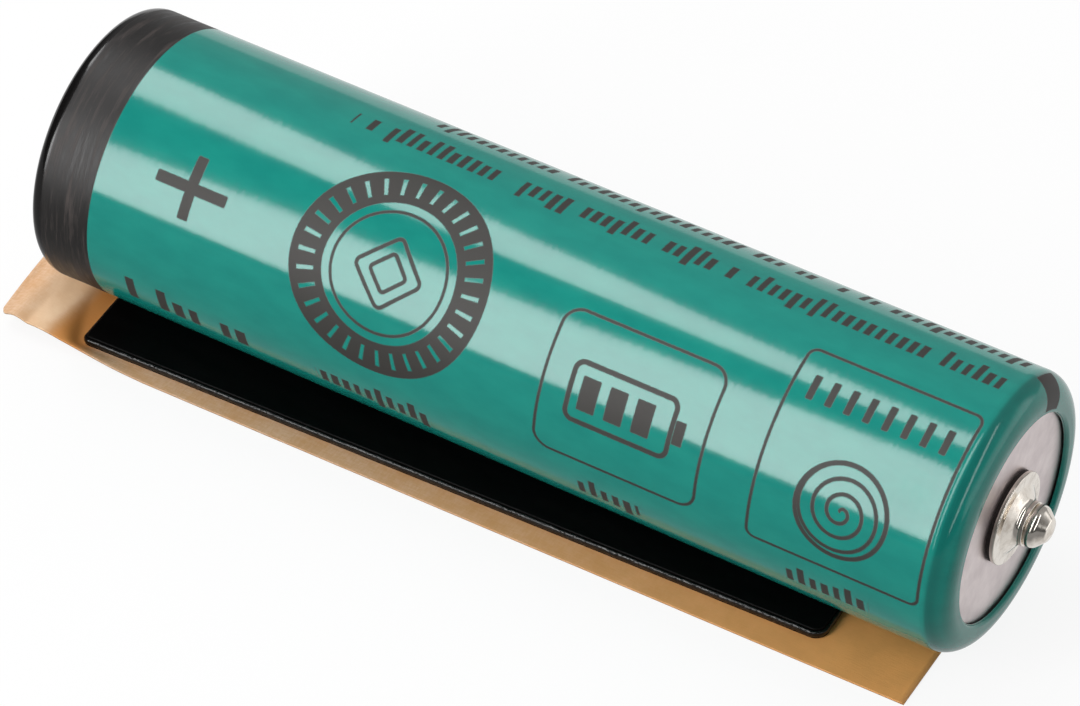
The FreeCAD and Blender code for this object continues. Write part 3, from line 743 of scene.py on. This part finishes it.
def makePin(shape, material):
    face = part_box("contact_pin")[0].x / mm
    footRadius, flangeBack = shape["foot"]
    flangeRadius, flangeFace = shape["flange"]
    flareRadius, flareEnd = shape["flare"]
    studRadius, studEnd = shape["stud"]
    grooveRadius, headStart = shape["groove"]
    headRadius, headEnd = shape["head"]
    crownRadius, crownStart = shape["crown"]
    corners = [
        (-shape["sunk"], 0), (-shape["sunk"], footRadius), (flangeBack, footRadius, 0.02),
        (flangeBack, flangeRadius, 0.06), (flangeFace, flangeRadius, 0.07),
        (flangeFace + 0.02, flareRadius, 0.1), (flareEnd, studRadius, 0.3), (studEnd, studRadius, 0.05),
        (studEnd + 0.02, grooveRadius, 0.02), (headStart - 0.02, grooveRadius, 0.02),
        (headStart, headRadius, 0.06), (headEnd, headRadius, 0.45), (crownStart, crownRadius, 0.3),
        (shape["tip"], 0.12, 0.06), (shape["tip"], 0),
    ]
    skin = [(x + face, r) for x, r in roundedPath(corners, arcSteps=10, closed=False, longest=0.12)]
    pin = turnedPiece(
        "turned_contact_pin", skin, shape["segments"], "cell", material, closed=False,
    )
    for vertex in pin.data.vertices:
        beyond = max(0.0, vertex.co.x - (face + flangeFace) * mm)
        vertex.co.z += shape["lift"] * mm + beyond * math.tan(math.radians(shape["lean"]))
    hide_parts("contact_pin")


print("metal parts")
makePin(pinShape, brightTurnedNickel())


# Hidden and small parts keep their own solids
smallParts = {
    # Nickel-plated strip, pressed: bright satin with a faint mottle
    "pressedNickelSteel": {"first": "dcd8d2", "second": "cec8c1", "blotch": 1.6, "fine": 0.07, "depth": 0.001,
                           "rough": (0.22, 0.29), "metal": 1.0},
    # Vulcanised fibre paper, die cut: matt off-white with a soft tooth
    "dieCutFibrePaper": {"first": "e9e7e0", "second": "d8d4c8", "blotch": 0.5, "fine": 0.06, "depth": 0.02,
                         "rough": (0.78, 0.92), "metal": 0.0},
    # Polyamide, moulded: cream, half gloss
    "mouldedNylon": {"first": "dcd8c6", "second": "cbc5ae", "blotch": 1.4, "fine": 0.08, "depth": 0.004,
                     "rough": (0.35, 0.5), "metal": 0.0},
    # Rubber, moulded: soft black, barely shiny
    "mouldedValveRubber": {"first": "1d1d1f", "second": "2a2a2b", "blotch": 0.4, "fine": 0.05, "depth": 0.008,
                           "rough": (0.5, 0.68), "metal": 0.0},
    # Spring steel wire, drawn: dark satin grey with fine die marks
    "drawnSpringWire": {"first": "b4b2ae", "second": "8c8984", "blotch": 0.2, "fine": 0.03, "depth": 0.003,
                        "rough": (0.25, 0.4), "metal": 1.0},
    # Nickel strip, rolled: plain satin grey
    "rolledNickelStrip": {"first": "cbc7bf", "second": "aba59b", "blotch": 0.6, "fine": 0.04, "depth": 0.003,
                          "rough": (0.28, 0.42), "metal": 1.0},
    # Hydroxide paste in nickel foam: rough green-black
    "pastedHydroxideFoam": {"first": "343a36", "second": "20241f", "blotch": 0.7, "fine": 0.18, "depth": 0.05,
                            "rough": (0.8, 0.95), "metal": 0.0},
    # Alloy powder, pressed on strip: dull dark grey
    "pressedAlloyPowder": {"first": "4c4b4a", "second": "373635", "blotch": 0.5, "fine": 0.07, "depth": 0.02,
                           "rough": (0.62, 0.8), "metal": 0.0},
    # Non-woven fibre sheet: matt white, slightly felted
    "nonWovenSeparator": {"first": "e6e3da", "second": "cfcabc", "blotch": 0.3, "fine": 0.09, "depth": 0.03,
                          "rough": (0.85, 0.95), "metal": 0.0},
}
smallPartOf = {
    "positive_cap": "pressedNickelSteel", "sealing_plate": "pressedNickelSteel",
    "valve_plate": "pressedNickelSteel", "insulating_washer": "dieCutFibrePaper",
    "upper_insulator": "dieCutFibrePaper", "lower_insulator": "dieCutFibrePaper", "gasket": "mouldedNylon",
    "vent_valve": "mouldedValveRubber", "positive_lead": "rolledNickelStrip",
    "positive_collector": "rolledNickelStrip", "positive_electrode": "pastedHydroxideFoam",
    "negative_electrode": "pressedAlloyPowder", "inner_separator": "nonWovenSeparator",
    "outer_separator": "nonWovenSeparator",
}


# One build for the small parts: two shades in blotches, a fine tooth, and roughness that follows the blotches
def smallPartMaterial(name, values):
    material, tree, surface, place = startMaterial(name, Metallic=values["metal"])
    blotch = grain(tree, place, values["blotch"], 4.0)
    fine = grain(tree, place, values["fine"], 3.0)
    colour = twoShades(tree, blotch, 0.35, 0.65, values["first"], values["second"])
    rough = addNode(tree, "MapRange", [blotch, 0.3, 0.7, *values["rough"]])
    coat(tree, surface, colour, rough)
    relief(tree, surface, fine, values["depth"])
    return material


def dressNode(node, material):
    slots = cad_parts[node].data.materials
    slots.clear()
    slots.append(material)


madeMaterials = {name: smallPartMaterial(name, values) for name, values in smallParts.items()}
for node, name in smallPartOf.items():
    dressNode(node, madeMaterials[name])
dressNode("can", platedDrawnSteel())


# The vent's coil spring stands on the cap and presses on the valve plate
spring = {"wire": 0.2, "turns": 2.5, "steps": 150, "sides": 12, "travel": 0.25}


def makeSpring(material):
    low, high = [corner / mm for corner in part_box("vent_spring")]
    half = spring["wire"] / 2
    coil = (high.z - low.z) / 2 - half
    steps, sides = spring["steps"], spring["sides"]
    points, faces = [], []
    for step in range(steps + 1):
        turn = 2 * math.pi * spring["turns"] * step / steps
        outward = Vector((0, math.cos(turn), math.sin(turn)))
        along = low.x + half + (high.x - low.x - 2 * half) * step / steps
        middle = Vector((along, 0, axisHeight)) + outward * coil
        for side in range(sides):
            angle = 2 * math.pi * side / sides
            points.append(middle + outward * half * math.cos(angle) + Vector((half * math.sin(angle), 0, 0)))
    for step in range(steps):
        for side in range(sides):
            here, after = step * sides + side, step * sides + (side + 1) % sides
            faces.append([here, here + sides, after + sides, after])
    faces.append(list(range(sides)))
    faces.append(list(range(steps * sides, (steps + 1) * sides))[::-1])
    piece = finishMesh("coiled_vent_spring", points, faces, "cell", material)
    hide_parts("vent_spring")
    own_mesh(piece)


makeSpring(madeMaterials["drawnSpringWire"])


print("pad and liner")
pad = {
    "turn": 1.9, "cadCorner": 0.8, "shrink": (1.05, 0.16), "filmInset": 0.16, "edge": 0.07, "bead": 0.03,
    "corners": {"leftNear": 0.35, "rightNear": 0.7, "far": 0.8}, "foamBulge": 0.02, "columns": 260,
    "rows": 64, "foam": ("050505", "0b0a0b"), "foamCell": 0.16, "nickSize": 0.5, "nickDepth": 0.085,
    "film": "040404", "lint": "16171a", "waviness": 0.008,
}


# Skin of closed-cell foam, die cut: near black and dull, shinier where the cut edge is rolled over. Nicks
# from the cutter break the line of light along that edge, drawn coarser than real ones so that they show.
def dieCutFoam():
    material, tree, surface, place = startMaterial("dieCutClosedCellFoam", IOR=1.45)
    cells = addNode(tree, "TexVoronoi", {"Vector": place, "Scale": 1 / pad["foamCell"]}, feature="SMOOTH_F1")
    blotch = grain(tree, place, 0.9, 3.0)
    colour = twoShades(tree, blotch, 0.35, 0.65, pad["foam"][0], pad["foam"][1])
    rough = addNode(tree, "MapRange", [blotch, 0.3, 0.7, 0.18, 0.34])
    coat(tree, surface, colour, rough)
    low = relief(tree, surface, cells.outputs["Distance"], 0.004)
    nicks = grain(tree, place, pad["nickSize"], 2.0)
    relief(tree, surface, nicks, pad["nickDepth"], under=low)
    return material


# Acrylic adhesive cast on black film: deep black, with a slack, slightly rippled skin
def castAdhesiveFilm():
    material, tree, surface, place = startMaterial("castAdhesiveFilm", IOR=1.45)
    surface.inputs["Specular IOR Level"].default_value = 0.12
    slack = grain(tree, place, (3.0, 0.8, 1), 3.0)
    lint = grain(tree, place, 0.12, 2.0)
    colour = twoShades(tree, lint, 0.70, 0.80, pad["film"], pad["lint"])
    rough = addNode(tree, "MapRange", [slack, 0.3, 0.7, 0.35, 0.55])
    coat(tree, surface, colour, rough)
    low = relief(tree, surface, lint, 0.004)
    relief(tree, surface, slack, 0.02, under=low)
    return material


# The length, width and middle of a strip that lies turned in its node's box, from its corners' rounding
def turnedStrip(node, degrees, corner=0.0):
    low, high = [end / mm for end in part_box(node)]
    turn = math.radians(degrees)
    spanX, spanY = high.x - low.x - 2 * corner, high.y - low.y - 2 * corner
    scale = math.cos(turn) ** 2 - math.sin(turn) ** 2
    length = (spanX * math.cos(turn) - spanY * math.sin(turn)) / scale + 2 * corner
    width = (spanY * math.cos(turn) - spanX * math.sin(turn)) / scale + 2 * corner
    return length, width, (low.x + high.x) / 2


padLength, padWidth, padMiddle = turnedStrip("pad_foam", pad["turn"], pad["cadCorner"])


# One layer of the pad. Its top edge is rolled over, and inside the roll a low bead runs round it.
def makePadLayer(name, node, material, inset, edge, bead, bulge, levels):
    low, high = [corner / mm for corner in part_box(node)]
    columns, rows = pad["columns"], pad["rows"]
    halfLength, halfWidth = padLength / 2 - inset, padWidth / 2 - inset
    turn = math.radians(pad["turn"])
    axisClear = sleeveRadius + 0.02

    def cornerOf(x, near):
        if not near:
            return pad["corners"]["far"]
        return pad["corners"]["leftNear" if x < 0 else "rightNear"]

    def place(i, j, level):
        s = math.sin((2 * i / columns - 1) * math.pi / 2)
        t = math.sin((2 * j / rows - 1) * math.pi / 2)
        x = halfLength * s
        near = t < 0
        rounding = max(0.1, cornerOf(x, near) - inset)
        over = max(0.0, abs(x) - (halfLength - rounding))
        reach = halfWidth - rounding + math.sqrt(max(0.0, rounding ** 2 - over ** 2))
        y = reach * t
        fromCorner = math.hypot(over, max(0.0, abs(y) - (halfWidth - rounding)))
        depth = min(halfLength - abs(x), halfWidth - abs(y), 1e9 if over == 0 else rounding - fromCorner)
        depth = max(0.0, depth)
        x -= pad["shrink"][0] * smoothStep(x, 0, halfLength)
        y += pad["shrink"][1] * max(0.0, -t)
        onRim = i in (0, columns) or j in (0, rows)
        swell = bulge * math.sin(math.pi * level) if onRim else 0.0
        if onRim:
            x += swell * s if abs(s) > 0.999 else 0.0
            y += swell * t if abs(t) > 0.999 else 0.0
        if level == 1.0:
            uneven = noise.noise(Vector((x * 0.9, y * 0.9, low.z * 7)))
            along = noise.noise(Vector((x * 2.3, y * 0.7, 4.0)))
            roll = edge * (1 - math.sqrt(max(0.0, 1 - (1 - min(depth / edge, 1.0)) ** 2)))
            hump = bead * (1 + 0.7 * along) * math.exp(-((depth - 1.6 * edge) / (0.8 * edge)) ** 2)
            z = high.z - bead - roll + hump + pad["waviness"] * uneven
        else:
            z = low.z + (high.z - edge - bead - low.z) * level
        worldX = padMiddle + x * math.cos(turn) - y * math.sin(turn)
        worldY = x * math.sin(turn) + y * math.cos(turn)
        if abs(worldY) < axisClear:
            z = min(z, axisHeight - math.sqrt(axisClear ** 2 - worldY ** 2))
        return worldX, worldY, max(z, low.z if level == 0 else low.z + 0.02 * level)

    layer = slabPiece(name, columns, rows, levels, place, "cell", material)
    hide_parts(node)
    return layer


foamMaterial, filmMaterial = dieCutFoam(), castAdhesiveFilm()
foam = makePadLayer(
    "die_cut_foam", "pad_foam", foamMaterial, inset=0.0, edge=pad["edge"], bead=pad["bead"],
    bulge=pad["foamBulge"], levels=(0.0, 0.25, 0.5, 0.75, 1.0),
)
makePadLayer(
    "upper_adhesive_film", "pad_upper_adhesive", filmMaterial, inset=pad["filmInset"],
    edge=0.05, bead=0.0, bulge=0.0, levels=(0.0, 0.5, 1.0),
)
makePadLayer(
    "lower_adhesive_film", "pad_lower_adhesive", filmMaterial, inset=0.03, edge=0.02,
    bead=0.0, bulge=0.0, levels=(0.0, 1.0),
)


# Each painted tone of light or shade has the places along the strip where it starts, is full, holds to and
# ends
liner = {
    "turn": 0.9, "thickness": 0.12, "longer": 0.3, "endRounding": 0.4, "endBow": 0.35, "endSlant": 0.15,
    "freeFrom": (22.9, 24.6), "edgeZone": (6.1, 6.9), "edgeWiden": 3.4, "slack": 0.015,
    "slackZone": (6.2, 6.9),
    "columns": 240, "rows": 72, "fibre": ("d8ac83", "e4bf9e"), "cloud": "d39653",
    "tones": [("fdd9b2", -26.9, -24.9, -24.7, -23.9), ("e0954e", -24.6, -23.7, -22.9, -21.4),
              ("f2ac64", -14.0, 24.0, 24.0, 60.0)],
    "underCell": [(-27.1, 0.72), (-26.4, 0.96), (-25.7, 0.80), (-25.1, 0.50), (-24.5, 0.26), (-23.9, 0.10),
                  (-23.25, 0.0)],
    "nearEdge": [(-27.1, 0.45), (-26.2, 0.72), (-24.9, 0.77), (-23.3, 0.53), (-21.8, 0.28), (-20.6, 0.12),
                 (-18.9, 0.0)],
}


# Smooth height between listed stations
def heightAlong(stations, x):
    if x <= stations[0][0]:
        return stations[0][1]
    for index, ((x0, z0), (x1, z1)) in enumerate(zip(stations, stations[1:])):
        if x <= x1:
            before = stations[max(index - 1, 0)]
            after = stations[min(index + 2, len(stations) - 1)]
            slope0 = (z1 - before[1]) / (x1 - before[0])
            slope1 = (after[1] - z0) / (after[0] - x0)
            t, span = (x - x0) / (x1 - x0), x1 - x0
            return (z0 * (2 * t ** 3 - 3 * t ** 2 + 1) + slope0 * span * (t ** 3 - 2 * t ** 2 + t)
                    + z1 * (3 * t ** 2 - 2 * t ** 3) + slope1 * span * (t ** 3 - t ** 2))
    return 0.0


# Brown kraft paper, calendered and coated with silicone: short fibres, cloudy tone and a dull sheen. Light
# and
# shade are painted along it: painted light where the tail curls up, painted shade in the fold by the pad, and
# a lighter, warmer tone painted towards the other end, which lies in the cell's shade.
def siliconisedKraftPaper():
    material, tree, surface, place = startMaterial("siliconisedKraftPaper", IOR=1.45)
    fibres = grain(tree, place, (0.5, 0.09, 0.3), 4.0, 0.65)
    crossFibres = grain(tree, place, (0.1, 0.45, 0.3), 4.0, 0.65)
    cloud = grain(tree, place, 1.8, 4.0)
    both = addNode(tree, "Math", [fibres, crossFibres], operation="ADD")
    tone = twoShades(tree, both, 0.85, 1.2, liner["fibre"][0], liner["fibre"][1])
    along = addNode(tree, "SeparateXYZ", [place]).outputs["X"]
    # Painted light and shade along the strip
    for colour, start, full, hold, end in liner["tones"]:
        rising = addNode(tree, "MapRange", [along, start, full], **smooth)
        falling = addNode(tree, "MapRange", [along, hold, end, 1.0, 0.0], **smooth)
        share = addNode(tree, "Math", [rising, falling], operation="MULTIPLY")
        tone = addNode(tree, "Mix", {0: share, 6: tone, 7: fromHex(colour)}, data_type="RGBA")
    clouds = addNode(tree, "MapRange", [cloud, 0.35, 0.65, 0.0, 0.4])
    cloudy = addNode(tree, "Mix", {0: clouds, 6: tone, 7: fromHex(liner["cloud"])}, data_type="RGBA")
    rough = addNode(tree, "MapRange", [cloud, 0.3, 0.7, 0.42, 0.58])
    coat(tree, surface, cloudy, rough)
    relief(tree, surface, both, 0.006)
    return material


def makeLiner(material):
    length, width, middle = turnedStrip("release_liner", liner["turn"])
    turn = math.radians(liner["turn"])
    columns, rows = liner["columns"], liner["rows"]
    rounding = liner["endRounding"]

    def place(i, j, level):
        y = width / 2 * math.sin((2 * j / rows - 1) * math.pi / 2)
        over = max(0.0, abs(y) - (width / 2 - rounding))
        arc = math.sqrt(max(0.0, rounding ** 2 - over ** 2))
        across = 2 * y / width
        leftEnd = middle - length / 2 - liner["longer"] + rounding - arc
        leftEnd -= liner["endBow"] * (1 - across ** 2) + liner["endSlant"] * (1 + across) / 2
        rightEnd = middle + length / 2
        share = i / columns
        x = leftEnd + (rightEnd - leftEnd) * (0.55 * share + 0.45 * share ** 2)
        free = smoothStep(-x, *liner["freeFrom"])
        edgeFrom, edgeFull = liner["edgeZone"]
        edgeShare = smoothStep(abs(y), edgeFrom - liner["edgeWiden"] * free, edgeFull)
        edgeShare *= 1.0 if y < 0 else 0.5
        lowHeight = heightAlong(liner["underCell"], x)
        edgeHeight = heightAlong(liner["nearEdge"], x)
        z = lowHeight + (max(edgeHeight, lowHeight) - lowHeight) * edgeShare
        slack = liner["slack"] * noise.noise(Vector((x * 0.25, y * 0.3, 9.0)))
        slack *= smoothStep(abs(y), *liner["slackZone"])
        z = max(0.0, z + abs(slack)) + liner["thickness"] * level
        return x * math.cos(turn) - y * math.sin(turn), x * math.sin(turn) + y * math.cos(turn), z

    levels = (0.0, 1.0)
    piece = slabPiece("curled_release_liner", columns, rows, levels, place, "liner", material)
    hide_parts("release_liner")


makeLiner(siliconisedKraftPaper())
print("done")
